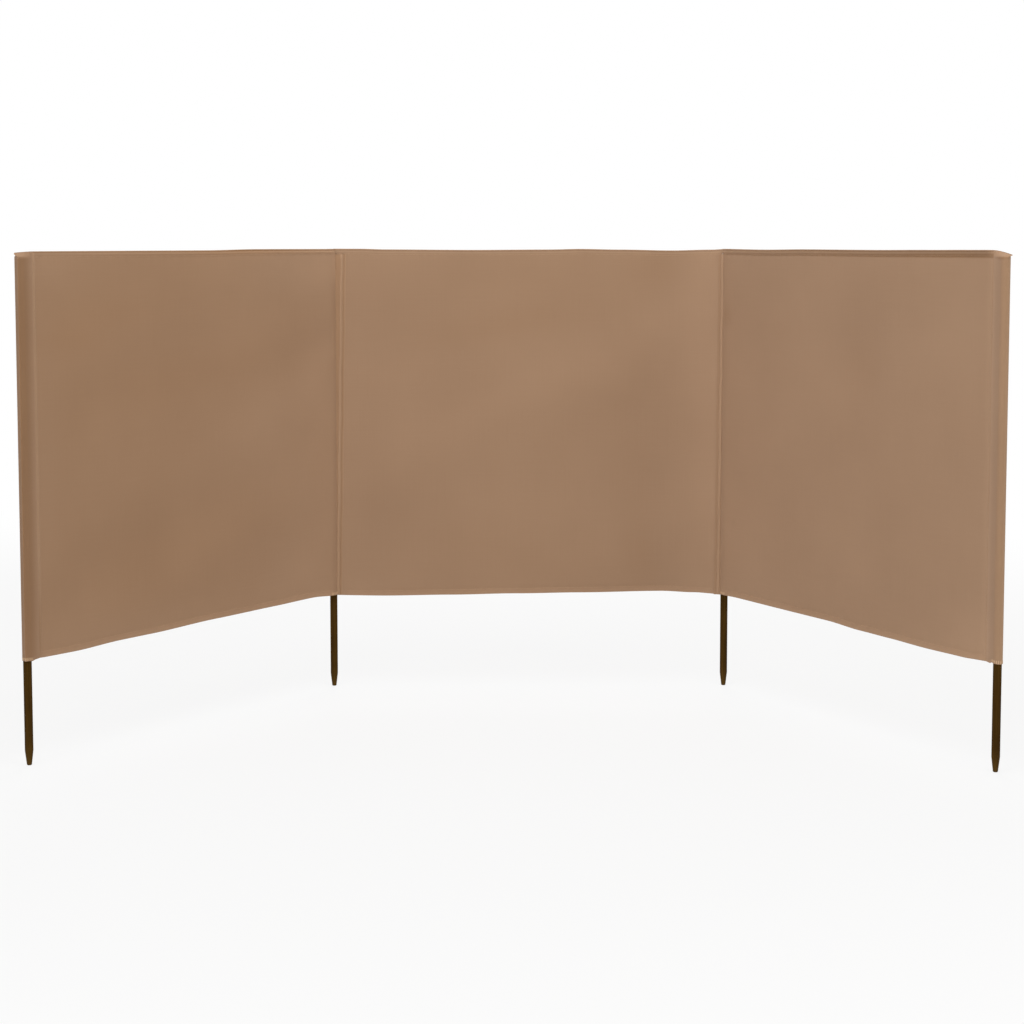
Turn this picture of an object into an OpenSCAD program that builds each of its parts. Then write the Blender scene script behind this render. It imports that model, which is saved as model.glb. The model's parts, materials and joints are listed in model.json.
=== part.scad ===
// Three-bay beach windbreak: one length of plain cloth on four poles.
// The origin is the foot of the left inner pole, +X runs along the centre bay
// to the right inner pole, +Y points to the back and +Z up.
// Each outer bay swings about an inner pole. The left bay folds onto the front
// of the centre bay and the right bay onto its back.

/* [Cloth] */
// Height of the cloth, from bottom edge to top edge
cloth_height = 1200; // [600:10:1600]
// Distance between the axes of neighbouring poles
bay_width = 1355; // [600:5:2000]
// Thickness of one layer of cloth
cloth_t = 1.2; // [0.6:0.1:2]
// Height of the hems along the top and bottom edges
hem_height = 20; // [10:1:40]

/* [Poles] */
// Diameter of a pole
pole_d = 25; // [18:0.5:40]
// Length of pole left bare below the cloth
bare_length = 315; // [120:5:600]
// Length of the tapered tip
tip_length = 45; // [15:1:100]
// Diameter at the end of the taper
tip_d = 15; // [8:0.5:17]
// Rounding round the blunt end of the tip
tip_round = 3; // [0.5:0.5:3.5]
// Bevel round the top of a pole
top_bevel = 1.5; // [0.5:0.5:4]

/* [Pockets] */
// Space between a pole and the cloth of its pocket
pocket_clear = 0.3; // [0.1:0.1:1]
// Height of a pocket's closed top, above the end of the pole
pocket_top_height = 15; // [8:1:30]
// Height of the sewn lip along the flattened top of an end pocket
pocket_lip = 3; // [1:0.5:6]
// Distance from an end pole's axis to the stitch line of its pocket
end_pocket_reach = 48; // [30:1:80]
// Slit left between the two layers of a pocket at its stitch line
pocket_slit = 0.4; // [0.2:0.1:0.8]
// Rounding over the top of an inner pocket
inner_top_round = 6; // [2:0.5:7]

/* [Seams] */
// Width of the raised seam beside each inner pole
inner_seam_width = 9; // [5:0.5:20]
// Height of that seam above the face of the cloth
inner_seam_rise = 1.2; // [0.4:0.1:2]
// Width of the seam allowance behind an end pocket's stitch line
end_seam_width = 12; // [6:0.5:25]

/* [Layout] */
// Angle of the left bay to the front, out of line with the centre bay
left_turn = 53; // [0:0.5:80]
// Angle of the right bay to the front, out of line with the centre bay
right_turn = 60.5; // [0:0.5:80]
// Angle that stays between two bays when they are folded together
fold_angle = 6; // [4:0.5:15]
// Running gap between a swinging edge and what it passes
swing_gap = 0.3; // [0.2:0.1:1]

/* [Hidden] */

$fn = 64;
cloth_colour = [0.60, 0.48, 0.37];
seam_colour = [0.64, 0.52, 0.41];
pole_colour = [0.25, 0.17, 0.06];

// Heights
cloth_low = bare_length;
cloth_high = bare_length + cloth_height;
pole_length = cloth_high - pocket_top_height;
sheet_low = cloth_low + cloth_t;
sheet_height = cloth_height - 2 * cloth_t;
seam_low = cloth_low + hem_height;
seam_height = cloth_height - 2 * hem_height;

// Radii about a pole's axis
pole_r = pole_d / 2;
tip_r = tip_d / 2;
pocket_r = pole_r + pocket_clear;
sleeve_r = pocket_r + cloth_t;
swing_r = sleeve_r + swing_gap;

// Distances from an inner pole's axis at which seam and hems clear a folded bay
seam_start = max(swing_r, (inner_seam_rise + swing_gap) / sin(fold_angle));
hem_start = max(swing_r, (2 * cloth_t + swing_gap) / sin(fold_angle));

// The centre bay's cloth runs from behind the left pole's axis to in front of the right one's
centre_skew = asin(cloth_t / bay_width);
centre_span = bay_width * cos(centre_skew);

// Where an outer bay's cloth meets the stitch line of its end pocket
stitch_x = bay_width - end_pocket_reach;

// Girth of an end pocket from its stitch line round to its outermost point
tangent_turn = pocket_tangent(sleeve_r, end_pocket_reach, cloth_t);
half_girth = sqrt(pow(end_pocket_reach, 2) - pow(sleeve_r, 2)) + sleeve_r * tangent_turn * PI / 180;
flat_reach = half_girth - end_pocket_reach;

// Overrun of every cut past the face that it opens
overrun = 1;

// Angle, from the outermost point, at which a layer of an end pocket leaves the round of the pole
function pocket_tangent(r, reach, half) =
    180 - atan2(half, reach) - acos(r / norm([reach, half]));

// Shared shapes

// A round pole with a tapered, blunt tip, standing on its foot
module pole() {
    color(pole_colour) rotate_extrude() {
        polygon([
            [0, 0], [tip_r - tip_round, 0], [tip_r, tip_round], [pole_r, tip_length],
            [pole_r, pole_length - top_bevel], [pole_r - top_bevel, pole_length], [0, pole_length]
        ]);
        translate([tip_r - tip_round, tip_round]) circle(tip_round);
    }
}

// Round pocket about an inner pole, open below
module inner_sleeve() {
    color(cloth_colour) translate([0, 0, cloth_low]) difference() {
        cylinder(r = sleeve_r, h = pole_length - cloth_low);
        translate([0, 0, -overrun]) cylinder(r = pocket_r, h = pole_length - cloth_low + 2 * overrun);
    }
}

// Gathered top that closes an inner pocket over the end of its pole
module inner_pocket_top() {
    color(cloth_colour) translate([0, 0, pole_length]) rotate_extrude() {
        square([sleeve_r - inner_top_round, pocket_top_height]);
        square([sleeve_r, pocket_top_height - inner_top_round]);
        translate([sleeve_r - inner_top_round, pocket_top_height - inner_top_round])
            circle(inner_top_round);
    }
}

// Outline of cloth drawn from round a pole to a stitch line on its -X side
module pocket_outline(r, reach, half) {
    turn = pocket_tangent(r, reach, half);
    circle(r);
    polygon([
        [-reach, half], [-reach, -half],
        [r * cos(turn), -r * sin(turn)], [r * cos(turn), r * sin(turn)]
    ]);
}

// Pocket about an end pole, open below: two layers that close at the stitch line
module end_sleeve() {
    color(cloth_colour) translate([bay_width, 0, cloth_low])
        linear_extrude(pole_length - cloth_low) difference() {
            pocket_outline(sleeve_r, end_pocket_reach, cloth_t);
            pocket_outline(pocket_r, end_pocket_reach - cloth_t, pocket_slit / 2);
        }
}

// Top of an end pocket, pressed flat and sewn shut over the end of its pole
module end_pocket_top() {
    color(cloth_colour) translate([bay_width, 0, pole_length]) hull() {
        linear_extrude(pocket_lip) pocket_outline(sleeve_r, end_pocket_reach, cloth_t, $fn = 32);
        translate([-end_pocket_reach, -cloth_t, pocket_top_height - pocket_lip])
            cube([end_pocket_reach + flat_reach, 2 * cloth_t, pocket_lip]);
    }
}

// Sheet of cloth along +X, its front face at y
module sheet(start, end, y) {
    color(cloth_colour) translate([start, y, sheet_low]) cube([end - start, cloth_t, sheet_height]);
}

// Cloth turned over the upper edge of a sheet and down its back face
module hem(start, end) {
    color(seam_colour) translate([start, 0, 0]) rotate([90, 0, 90]) linear_extrude(end - start) {
        translate([0, cloth_t - hem_height]) square([cloth_t, hem_height - cloth_t]);
        intersection() {
            circle(cloth_t);
            translate([-cloth_t, 0]) square([2 * cloth_t, cloth_t]);
        }
    }
}

// Hem along the top of a sheet whose front face is at y
module top_hem(start, end, y) {
    translate([0, y + cloth_t, cloth_high - cloth_t]) hem(start, end);
}

// Hem along the bottom of a sheet whose front face is at y
module bottom_hem(start, end, y) {
    translate([0, y + cloth_t, sheet_low]) mirror([0, 0, 1]) hem(start, end);
}

// Rounded seam on the front face of the centre bay's cloth
module inner_seam(start) {
    seam_r = (pow(inner_seam_width / 2, 2) + pow(inner_seam_rise, 2)) / (2 * inner_seam_rise);
    color(seam_colour) translate([start, 0, seam_low]) linear_extrude(seam_height) intersection() {
        translate([inner_seam_width / 2, seam_r - inner_seam_rise]) circle(seam_r);
        translate([0, -inner_seam_rise]) square([inner_seam_width, inner_seam_rise]);
    }
}

// Seam allowance on the back of an outer bay, along its end pocket's stitch line
module end_seam(y) {
    color(seam_colour) translate([stitch_x - end_seam_width, y + cloth_t, seam_low])
        cube([end_seam_width, cloth_t, seam_height]);
}

// Places: each outer bay is drawn along +X from the axis that it swings about

module centre_bay() { rotate(-centre_skew) children(); }
module left_bay() { rotate(left_turn) mirror([1, 0, 0]) children(); }
module right_bay() { translate([bay_width, 0, 0]) rotate(-right_turn) children(); }

// Front face of each outer bay's cloth, in its own place
left_face = 0;
right_face = -cloth_t;

// Poles
module left_inner_pole() { pole(); }
module right_inner_pole() { translate([bay_width, 0, 0]) pole(); }
module left_end_pole() { left_bay() translate([bay_width, 0, 0]) pole(); }
module right_end_pole() { right_bay() translate([bay_width, 0, 0]) pole(); }

// Pockets
module left_inner_sleeve() { inner_sleeve(); }
module right_inner_sleeve() { translate([bay_width, 0, 0]) inner_sleeve(); }
module left_end_sleeve() { left_bay() end_sleeve(); }
module right_end_sleeve() { right_bay() end_sleeve(); }
module left_inner_pocket_top() { inner_pocket_top(); }
module right_inner_pocket_top() { translate([bay_width, 0, 0]) inner_pocket_top(); }
module left_end_pocket_top() { left_bay() end_pocket_top(); }
module right_end_pocket_top() { right_bay() end_pocket_top(); }

// Cloth of the three bays
module centre_panel() { centre_bay() sheet(sleeve_r, centre_span - sleeve_r, 0); }
module left_panel() { left_bay() sheet(swing_r, stitch_x, left_face); }
module right_panel() { right_bay() sheet(swing_r, stitch_x, right_face); }

// Hems
module centre_top_hem() { centre_bay() top_hem(hem_start, centre_span - hem_start, 0); }
module left_top_hem() { left_bay() top_hem(hem_start, stitch_x, left_face); }
module right_top_hem() { right_bay() top_hem(hem_start, stitch_x, right_face); }
module centre_bottom_hem() { centre_bay() bottom_hem(hem_start, centre_span - hem_start, 0); }
module left_bottom_hem() { left_bay() bottom_hem(hem_start, stitch_x, left_face); }
module right_bottom_hem() { right_bay() bottom_hem(hem_start, stitch_x, right_face); }

// Seams
module left_inner_seam() { centre_bay() inner_seam(seam_start); }
module right_inner_seam() { centre_bay() inner_seam(centre_span - seam_start - inner_seam_width); }
module left_end_seam() { left_bay() end_seam(left_face); }
module right_end_seam() { right_bay() end_seam(right_face); }

left_inner_pole();
right_inner_pole();
left_end_pole();
right_end_pole();
left_inner_sleeve();
right_inner_sleeve();
left_end_sleeve();
right_end_sleeve();
left_inner_pocket_top();
right_inner_pocket_top();
left_end_pocket_top();
right_end_pocket_top();
centre_panel();
left_panel();
right_panel();
centre_top_hem();
left_top_hem();
right_top_hem();
centre_bottom_hem();
left_bottom_hem();
right_bottom_hem();
left_inner_seam();
right_inner_seam();
left_end_seam();
right_end_seam();
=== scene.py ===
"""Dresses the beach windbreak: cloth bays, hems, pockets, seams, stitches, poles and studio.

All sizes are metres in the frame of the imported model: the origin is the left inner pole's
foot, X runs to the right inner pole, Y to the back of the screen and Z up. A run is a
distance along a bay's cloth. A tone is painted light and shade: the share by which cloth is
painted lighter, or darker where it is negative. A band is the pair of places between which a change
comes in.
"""

import json
import logging
import math
from dataclasses import dataclass, field
from enum import Enum
from typing import Callable

import bpy
import numpy as np
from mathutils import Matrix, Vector

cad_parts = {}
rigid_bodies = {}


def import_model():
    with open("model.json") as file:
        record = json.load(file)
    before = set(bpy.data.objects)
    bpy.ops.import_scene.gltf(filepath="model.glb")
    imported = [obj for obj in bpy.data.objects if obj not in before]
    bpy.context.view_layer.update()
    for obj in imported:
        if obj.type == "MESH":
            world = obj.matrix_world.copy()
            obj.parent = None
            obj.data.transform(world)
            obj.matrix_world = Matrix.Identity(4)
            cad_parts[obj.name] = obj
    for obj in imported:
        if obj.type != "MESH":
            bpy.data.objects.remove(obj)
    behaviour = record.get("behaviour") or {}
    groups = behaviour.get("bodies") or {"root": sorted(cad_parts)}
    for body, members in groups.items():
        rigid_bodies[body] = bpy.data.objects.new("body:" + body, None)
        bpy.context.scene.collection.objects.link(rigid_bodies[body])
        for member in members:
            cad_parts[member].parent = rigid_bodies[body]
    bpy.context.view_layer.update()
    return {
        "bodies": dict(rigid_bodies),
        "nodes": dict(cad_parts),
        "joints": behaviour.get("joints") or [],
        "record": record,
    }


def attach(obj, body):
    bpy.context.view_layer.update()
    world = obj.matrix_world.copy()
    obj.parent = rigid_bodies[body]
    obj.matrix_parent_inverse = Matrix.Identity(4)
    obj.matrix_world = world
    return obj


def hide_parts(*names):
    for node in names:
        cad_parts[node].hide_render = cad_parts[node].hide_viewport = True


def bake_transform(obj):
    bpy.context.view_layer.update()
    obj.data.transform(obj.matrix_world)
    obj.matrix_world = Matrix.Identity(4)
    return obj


LOG = logging.getLogger("windbreak")
FULL_TURN = 2.0 * math.pi
WHITE = (1.0, 1.0, 1.0, 1.0)

Pair = tuple[float, float]
Triple = tuple[float, float, float]
Curve = tuple[Pair, ...]
Array = np.ndarray
Piece = bpy.types.Object
Socket = bpy.types.NodeSocket
OnLine = Callable[[Array], Array]
RowLine = Callable[[Array], tuple[Array, Array]]


class Side(Enum):
    """The two outer bays, and the inner poles that they hang on."""

    LEFT = "left"
    RIGHT = "right"


class Edge(Enum):
    """The two long edges of a bay's cloth."""

    TOP = "top"
    BOTTOM = "bottom"

    @property
    def inward(self) -> float:
        """Which way the cloth lies from this edge: down (-1) or up (1)."""
        return -1.0 if self is Edge.TOP else 1.0


def ease(start: float, end: float, value: Array) -> Array:
    """Climbs smoothly from 0 at the start to 1 at the end."""
    share = np.clip((value - start) / (end - start), 0.0, 1.0)
    return share * share * (3.0 - 2.0 * share)


def fall(start: float, end: float, value: Array) -> Array:
    """Falls smoothly from 1 at the start to 0 at the end."""
    return 1.0 - ease(start, end, value)


def plateau(rise: Pair, drop: Pair, value: Array) -> Array:
    """Climbs from 0 to 1 over the first band and falls to 0 over the second."""
    return ease(*rise, value) * fall(*drop, value)


def bell(value: Array, wide: float) -> Array:
    """A soft bump of height 1 at 0."""
    return np.exp(-((value / wide) ** 2))


def between(ends: Pair, share: Array) -> Array:
    """Goes evenly from the first end at 0 to the second at 1."""
    return ends[0] + (ends[1] - ends[0]) * share


def soft_curve(points: Curve, value: Array) -> Array:
    """Follows a few control points with rounded crests and hollows.

    Args:
        points: Pairs of place and height, in rising order of place.
        value: The places to read.

    Returns:
        The height at each place.
    """
    places, heights = np.array(points).T
    index = np.clip(np.searchsorted(places, value) - 1, 0, len(places) - 2)
    share = ease(places[index], places[index + 1], value)
    return between((heights[index], heights[index + 1]), share)


def turned(x: Array, z: Array, degrees: float) -> tuple[Array, Array]:
    """Reads places as distances along and across an axis turned by an angle."""
    turn = math.radians(degrees)
    return x * math.cos(turn) + z * math.sin(turn), z * math.cos(turn) - x * math.sin(turn)


def arc_points(centre_x: float, radius: float, angles: Array) -> Array:
    """Places on plan round a centre on the bay's own line."""
    return np.stack([centre_x + radius * np.cos(angles), radius * np.sin(angles)], axis=1)


def deselect_all() -> None:
    """Leaves edit mode and clears the selection."""
    if bpy.context.mode != "OBJECT":
        bpy.ops.object.mode_set(mode="OBJECT")
    bpy.ops.object.select_all(action="DESELECT")


def make_active(piece: Piece) -> None:
    """Selects one piece alone and makes it active.

    Args:
        piece: The piece.
    """
    deselect_all()
    piece.select_set(True)
    bpy.context.view_layer.objects.active = piece


def take_active(name: str) -> Piece:
    """Names the active piece and puts its place, turn and size into its points.

    Args:
        name: The piece's name.

    Returns:
        The piece.
    """
    bpy.ops.object.transform_apply(location=True, rotation=True, scale=True)
    piece = bpy.context.active_object
    piece.name = name
    piece.data.name = name
    return piece


def flat_grid(name: str, columns: int, rows: int) -> Piece:
    """Cuts a unit square of cloth, ready to be laid on a shape.

    Args:
        name: The piece's name.
        columns: Faces across.
        rows: Faces up.

    Returns:
        The square, with its corners at 0 and 1.
    """
    deselect_all()
    bpy.ops.mesh.primitive_grid_add(
        x_subdivisions=columns, y_subdivisions=rows, size=1.0, location=(0.5, 0.5, 0.0)
    )
    return take_active(name)


def points_of(piece: Piece) -> Array:
    """Reads a piece's points.

    Args:
        piece: The piece.

    Returns:
        One row for each point.
    """
    points = np.empty(len(piece.data.vertices) * 3)
    piece.data.vertices.foreach_get("co", points)
    return points.reshape(-1, 3)


def move_points(piece: Piece, points: Array) -> None:
    """Puts the piece's points in new places."""
    piece.data.vertices.foreach_set("co", points.astype(np.float32).ravel())
    piece.data.update()


def set_flat_map(piece: Piece, flat: Array) -> None:
    """Writes each point's place in the flat cut, in metres, as the piece's UV map.

    Args:
        piece: The cloth.
        flat: Two numbers for each point.
    """
    layer = piece.data.uv_layers.active or piece.data.uv_layers.new(name="flat_cut")
    corner = np.empty(len(piece.data.loops), dtype=np.int32)
    piece.data.loops.foreach_get("vertex_index", corner)
    layer.data.foreach_set("uv", flat[corner].astype(np.float32).ravel())


def set_tone(piece: Piece, tone: Array) -> None:
    """Stores the cloth's painted light and shade at each point, as its tone."""
    layer = piece.data.attributes.new("tone", "FLOAT", "POINT")
    layer.data.foreach_set("value", tone.astype(np.float32))


def apply_modifier(piece: Piece, kind: str, **settings: object) -> None:
    """Adds a modifier to a piece, sets it and applies it.

    Args:
        piece: The piece.
        kind: The modifier's type.
        settings: Its properties by name.
    """
    make_active(piece)
    modifier = piece.modifiers.new(kind.lower(), kind)
    for name, value in settings.items():
        setattr(modifier, name, value)
    bpy.ops.object.modifier_apply(modifier=modifier.name)


def merge_close_points(piece: Piece, reach: float = 1e-5) -> None:
    """Closes a rolled sheet where its two edges meet.

    Args:
        piece: The sheet.
        reach: How close two points are when they become one.
    """
    make_active(piece)
    bpy.ops.object.mode_set(mode="EDIT")
    bpy.ops.mesh.select_all(action="SELECT")
    bpy.ops.mesh.remove_doubles(threshold=reach)
    bpy.ops.object.mode_set(mode="OBJECT")


def shade_round(piece: Piece, sharp: float = 50.0) -> None:
    """Shades the piece smooth, apart from edges sharper than an angle in degrees."""
    make_active(piece)
    bpy.ops.object.shade_smooth_by_angle(angle=math.radians(sharp))


def join_pieces(name: str, pieces: list[Piece]) -> Piece:
    """Joins pieces of one kind into one object.

    Args:
        name: The joined piece's name.
        pieces: What goes into it.

    Returns:
        The joined piece.
    """
    deselect_all()
    for piece in pieces:
        piece.select_set(True)
    bpy.context.view_layer.objects.active = pieces[0]
    bpy.ops.object.join()
    return take_active(name)


@dataclass(frozen=True)
class Screen:
    """Sizes that the whole screen shares; turns are the outer bays' angles in degrees."""

    bay: float = 1.355
    low: float = 0.315
    high: float = 1.515
    pole_top: float = 1.500
    pocket_radius: float = 0.0140
    cloth: float = 0.0006
    hem: float = 0.020
    left_turn: float = 53.0
    right_turn: float = 60.5

    @property
    def height(self) -> float:
        """The cloth's height."""
        return self.high - self.low

    def pole_x(self, side: Side) -> float:
        """Where an inner pole stands."""
        return 0.0 if side is Side.LEFT else self.bay


@dataclass(frozen=True)
class BayFrame:
    """Where a bay stands: its hinge, the way it runs and its back."""

    origin: Pair
    along: Pair
    back: Pair

    def place(self, x: Array, y: Array, z: Array) -> Array:
        """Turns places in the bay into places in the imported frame.

        Args:
            x: Distance from the hinge along the bay.
            y: Distance to the back.
            z: Height.

        Returns:
            One row of three for each place.
        """
        x, y, z = np.broadcast_arrays(x, y, z)
        plan = [self.origin[i] + x * self.along[i] + y * self.back[i] for i in (0, 1)]
        return np.stack([*plan, z], axis=-1)

    @classmethod
    def of_wing(cls, side: Side, screen: Screen) -> "BayFrame":
        """The frame of an outer bay.

        Args:
            side: Which outer bay.
            screen: The shared sizes.

        Returns:
            Its frame.
        """
        left = side is Side.LEFT
        turn = math.radians(screen.left_turn if left else screen.right_turn)
        way = -1.0 if left else 1.0
        along = (way * math.cos(turn), -math.sin(turn))
        back = (way * math.sin(turn), math.cos(turn))
        return cls((screen.pole_x(side), 0.0), along, back)


@dataclass(frozen=True)
class Ripple:
    """A run of long soft folds; rise is the way their crests climb, in degrees."""

    height: float
    length: float
    rise: float
    phase: float

    def depth(self, x: Array, z: Array) -> Array:
        """How far the cloth stands to the back at each place."""
        across = turned(x, z, self.rise)[1]
        return self.height * np.sin(FULL_TURN * (across / self.length + self.phase))


@dataclass(frozen=True)
class Dent:
    """A single hollow (to the back) or swelling (negative) in the cloth, or a soft patch of painted
    light on it, painted shade where negative.
    """

    x: float
    z: float
    wide: float
    tall: float
    deep: float
    turn: float = 0.0

    def depth(self, x: Array, z: Array) -> Array:
        """How far the cloth stands to the back, or the patch's painted light (painted shade where
        negative), at each place.
        """
        along, across = turned(x - self.x, z - self.z, self.turn)
        return self.deep * bell(along, self.wide) * bell(across, self.tall)


@dataclass(frozen=True)
class Gather:
    """A row of small puckers whose spacing wanders."""

    spacing: float
    wander: float
    rate: float

    def at(self, place: Array) -> Array:
        """The wave of the puckers, from -1 to 1."""
        return np.sin(place * FULL_TURN / self.spacing + self.wander * np.sin(place * self.rate))


@dataclass(frozen=True)
class Streak:
    """A line of painted light along an edge, at a distance from it: a highlight where its tone is
    positive, shade where negative.
    """

    tone: float
    place: float
    wide: float

    def at(self, distance: Array) -> Array:
        """The streak's tone at each distance from the edge."""
        return self.tone * bell(distance - self.place, self.wide)


@dataclass(frozen=True)
class Relief:
    """All the folds and hollows of one bay."""

    ripples: tuple[Ripple, ...]
    dents: tuple[Dent, ...]
    start_fade: float = 0.16
    end_fade: float = 0.20
    dent_fade: float = 0.02

    def depth(self, x: Array, z: Array, start: float, end: float) -> Array:
        """Sums the folds; they die out where the cloth is held.

        Args:
            x: Distance along the bay.
            z: Height.
            start: Where the free cloth starts.
            end: Where it ends.

        Returns:
            Distance to the back for each place.
        """
        free = plateau((start, start + self.start_fade), (end - self.end_fade, end), x)
        near = plateau((start, start + self.dent_fade), (end - self.dent_fade, end), x)
        folds = sum(ripple.depth(x, z) for ripple in self.ripples)
        hollows = sum(dent.depth(x, z) for dent in self.dents)
        return folds * free + hollows * near


class NodeDesk:
    """Adds and joins the nodes of one material or world."""

    def __init__(self, tree: bpy.types.NodeTree) -> None:
        """Clears the tree that the nodes go into."""
        self.tree = tree
        self.tree.nodes.clear()

    def add(self, kind: str, feeds: dict | None = None, **settings: object) -> bpy.types.Node:
        """Adds a node.

        Args:
            kind: The node's type, without the words that all shader nodes start with.
            feeds: What goes into its inputs, by name or number: a value or a socket.
            settings: Its properties by name.

        Returns:
            The node.
        """
        node = self.tree.nodes.new(f"ShaderNode{kind}")
        for name, value in settings.items():
            setattr(node, name, value)
        for key, value in (feeds or {}).items():
            if isinstance(value, Socket):
                self.tree.links.new(value, node.inputs[key])
            else:
                node.inputs[key].default_value = value
        return node

    def math(self, operation: str, *values: object) -> Socket:
        """Adds a calculation on numbers or sockets."""
        return self.add("Math", dict(enumerate(values)), operation=operation).outputs[0]

    def tint(self, operation: str, *values: object) -> Socket:
        """Adds a calculation on colours, each a triple or a socket."""
        return self.add("VectorMath", dict(enumerate(values)), operation=operation).outputs["Vector"]

    def noise(self, source: Socket, waves: Triple, detail: float) -> Socket:
        """Adds stretched noise from 0 to 1, with its waves a metre on each axis."""
        place = self.add("Mapping", {"Vector": source, "Scale": waves}).outputs["Vector"]
        return self.add("TexNoise", {"Vector": place, "Scale": 1.0, "Detail": detail}).outputs["Fac"]

    def ramp(self, source: Socket, places: Pair, dark: Triple, light: Triple) -> Socket:
        """Adds a ramp between two colours.

        Args:
            source: The value that picks the colour.
            places: The values of the two colours.
            dark: The first colour, linear.
            light: The second colour.

        Returns:
            The colour.
        """
        node = self.add("ValToRGB", {"Fac": source})
        for stop, place, colour in zip(node.color_ramp.elements, places, (dark, light)):
            stop.position = place
            stop.color = (*colour, 1.0)
        return node.outputs["Color"]

    def bump(self, height: Socket, strength: float, reach: float) -> Socket:
        """Adds a normal that a height roughens."""
        feeds = {"Height": height, "Strength": strength, "Distance": reach}
        return self.add("Bump", feeds).outputs["Normal"]

    def looking_rays(self) -> Socket:
        """Tells the rays that look from the rays of light.

        Returns:
            1 for what the camera sees, also in gloss or through glass, and else 0.
        """
        rays = self.add("LightPath").outputs
        direct = self.math("MAXIMUM", rays["Is Camera Ray"], rays["Is Glossy Ray"])
        return self.math("MAXIMUM", direct, rays["Is Transmission Ray"])

    def show_mix(self, output: str, share: Socket, plain: Socket, white: Socket) -> None:
        """Sends out a plain shader with a share of a white one in it."""
        mix = self.add("MixShader", {"Fac": share, 1: plain, 2: white})
        self.add(output, {"Surface": mix.outputs["Shader"]})


@dataclass(frozen=True)
class Finish:
    """A finish of the object, by the name of its material."""

    name: str

    def principled(self, desk: NodeDesk) -> dict[str, object]:
        """What goes into the Principled shader."""
        raise NotImplementedError

    def build(self) -> bpy.types.Material:
        """Makes the finish.

        Returns:
            Its material.
        """
        material = bpy.data.materials.new(self.name)
        material.use_nodes = True
        desk = NodeDesk(material.node_tree)
        shader = desk.add("BsdfPrincipled", self.principled(desk))
        desk.add("OutputMaterial", {"Surface": shader.outputs["BSDF"]})
        return material


@dataclass(frozen=True)
class ClothFinish(Finish):
    """Plain-woven polyester: fine threads, slubs, soft mottle and a little sheen."""

    dark: Triple
    light: Triple
    pitch: float = 0.0011
    slub_waves: Pair = (420.0, 5.0)
    slub_detail: float = 2.0
    mottle_waves: Triple = (3.2, 2.6, 1.0)
    mottle_detail: float = 3.0
    base_shade: float = 0.14
    mottle_share: float = 0.40
    slub_share: float = 0.15
    weave_share: float = 0.06
    shade_ends: Pair = (0.15, 0.85)
    painted_shade_tint: Triple = (0.80, 1.08, 1.48)
    painted_light_tint: Triple = (0.93, 1.04, 1.18)
    roughness: float = 0.86
    specular: float = 0.18
    sheen: float = 0.12
    sheen_roughness: float = 0.5
    slub_height: float = 0.5
    bump_strength: float = 0.22
    bump_reach: float = 0.00012

    def principled(self, desk: NodeDesk) -> dict[str, object]:
        """Weaves the cloth on the piece's flat map, in metres, and paints light and shade into it by its
        tone.

        Args:
            desk: Where the nodes go.

        Returns:
            What goes into the Principled shader.
        """
        flat = desk.add("TexCoord").outputs["UV"]
        split = desk.add("SeparateXYZ", {"Vector": flat}).outputs
        turns = FULL_TURN / self.pitch
        warp, weft = (desk.math("SINE", desk.math("MULTIPLY", split[axis], turns)) for axis in "XY")
        weave = desk.math("MULTIPLY", warp, weft)
        fine, long = self.slub_waves
        slub_up = desk.noise(flat, (fine, long, 1.0), self.slub_detail)
        slub_across = desk.noise(flat, (long, fine, 1.0), self.slub_detail)
        slub = desk.math("ADD", slub_up, slub_across)
        mottle = desk.noise(flat, self.mottle_waves, self.mottle_detail)
        shade = desk.math("MULTIPLY_ADD", mottle, self.mottle_share, self.base_shade)
        shade = desk.math("MULTIPLY_ADD", slub, self.slub_share, shade)
        shade = desk.math("MULTIPLY_ADD", weave, self.weave_share, shade)
        colour = desk.ramp(shade, self.shade_ends, self.dark, self.light)
        # The tone paints light and shade into the colour: painted shade where it is negative, a painted
        # highlight where it is positive.
        tone = desk.add("Attribute", attribute_name="tone").outputs["Fac"]
        wear_and_painted_light = desk.tint("MULTIPLY_ADD", desk.math("MINIMUM", tone, 0.0), self.painted_shade_tint, WHITE[:3])
        wear_and_painted_light = desk.tint("MULTIPLY_ADD", desk.math("MAXIMUM", tone, 0.0), self.painted_light_tint, wear_and_painted_light)
        threads = desk.math("MULTIPLY_ADD", slub, self.slub_height, weave)
        return {
            "Base Color": desk.tint("MULTIPLY", colour, wear_and_painted_light),
            "Roughness": self.roughness,
            "Specular IOR Level": self.specular,
            "Sheen Weight": self.sheen,
            "Sheen Roughness": self.sheen_roughness,
            "Normal": desk.bump(threads, self.bump_strength, self.bump_reach),
        }


@dataclass(frozen=True)
class ThreadFinish(Finish):
    """Twisted sewing thread."""

    colour: Triple
    twist_waves: float = 2600.0
    twist_detail: float = 1.0
    shade_ends: Pair = (0.3, 0.7)
    deep_share: float = 0.82
    pale_share: float = 1.18
    roughness: float = 0.6
    specular: float = 0.3
    bump_strength: float = 0.3
    bump_reach: float = 0.0001

    def principled(self, desk: NodeDesk) -> dict[str, object]:
        """Twists the thread on Object coordinates.

        Args:
            desk: Where the nodes go.

        Returns:
            What goes into the Principled shader.
        """
        place = desk.add("TexCoord").outputs["Object"]
        twist = desk.noise(place, (self.twist_waves,) * 3, self.twist_detail)
        deep, pale = (
            tuple(min(1.0, part * share) for part in self.colour)
            for share in (self.deep_share, self.pale_share)
        )
        return {
            "Base Color": desk.ramp(twist, self.shade_ends, deep, pale),
            "Roughness": self.roughness,
            "Specular IOR Level": self.specular,
            "Normal": desk.bump(twist, self.bump_strength, self.bump_reach),
        }


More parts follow.
